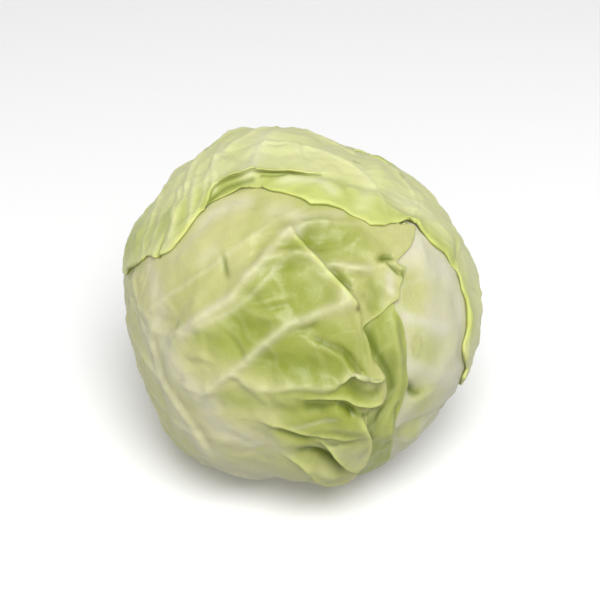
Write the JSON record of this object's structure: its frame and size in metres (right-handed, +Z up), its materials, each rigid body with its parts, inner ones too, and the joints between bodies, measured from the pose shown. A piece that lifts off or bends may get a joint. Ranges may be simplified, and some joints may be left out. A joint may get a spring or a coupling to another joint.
{
  "type": "cabbage head",
  "caption": "Head of white cabbage with large ribbed wrapper leaves folded over a dense heart, standing on its cut stem.",
  "frame": {"origin": "on the surface that the head stands on, under the middle of its box", "axes": "+Z up along the stem, -Y towards the front leaf's crumpled face, +X to the pale right leaf"},
  "size_m": [0.163, 0.1698, 0.1564],
  "materials": {
    "cut_stem": "cut stem, pale and fibrous with a dry rim, standing in for plant tissue",
    "heart_leaf": "pale waxy leaf, standing in for plant tissue",
    "pale_leaf": "waxy pale leaf with faint green between its veins, standing in for plant tissue",
    "green_leaf": "waxy green leaf with pale veins and a whitish base, standing in for plant tissue",
    "cap_leaf": "waxy yellow-green leaf with pale veins, standing in for plant tissue"
  },
  "bodies": {
    "root": {"stem": "cut_stem", "heart": "heart_leaf", "lower_leaf": "pale_leaf", "right_leaf": "pale_leaf", "under_leaf": "green_leaf", "front_leaf": "green_leaf", "cap_leaf": "cap_leaf", "back_leaf": "cap_leaf"}
  },
  "joints": []
}
